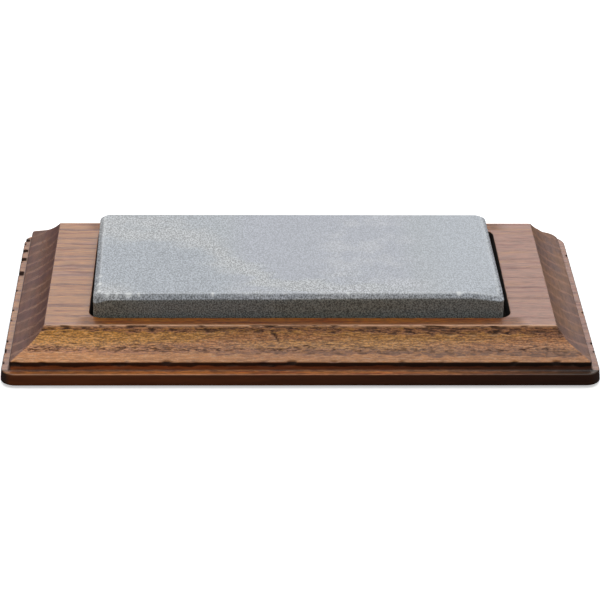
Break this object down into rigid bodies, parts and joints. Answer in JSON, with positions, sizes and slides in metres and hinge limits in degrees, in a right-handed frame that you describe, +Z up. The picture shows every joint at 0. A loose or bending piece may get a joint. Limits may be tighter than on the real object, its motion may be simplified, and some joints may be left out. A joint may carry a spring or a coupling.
{
  "type": "sharpening whetstone",
  "caption": "Bench sharpening stone with chamfered edges, lying loose in the pocket of a moulded hardwood base on rubber feet.",
  "frame": {"origin": "on the bench surface under the middle of the base", "axes": "+X along the stone's length, +Y across it to the back, +Z up out of the honing face"},
  "size_m": [0.2166, 0.1218, 0.0254],
  "materials": {
    "stained_wood": "brown stained hardwood under a satin clear coat",
    "natural_stone": "fine matt grey sawn and lapped stone",
    "rubber": "matt black"
  },
  "bodies": {
    "base": {"base_block": "stained_wood", "foot_front_left": "rubber", "foot_front_right": "rubber", "foot_back_left": "rubber", "foot_back_right": "rubber"},
    "stone": {"whetstone": "natural_stone"}
  },
  "joints": [
    {"name": "stone_lift", "type": "slide", "parent": "base", "child": "stone", "axis": [0, 0, 1], "range_m": [0, 0.02]}
  ]
}
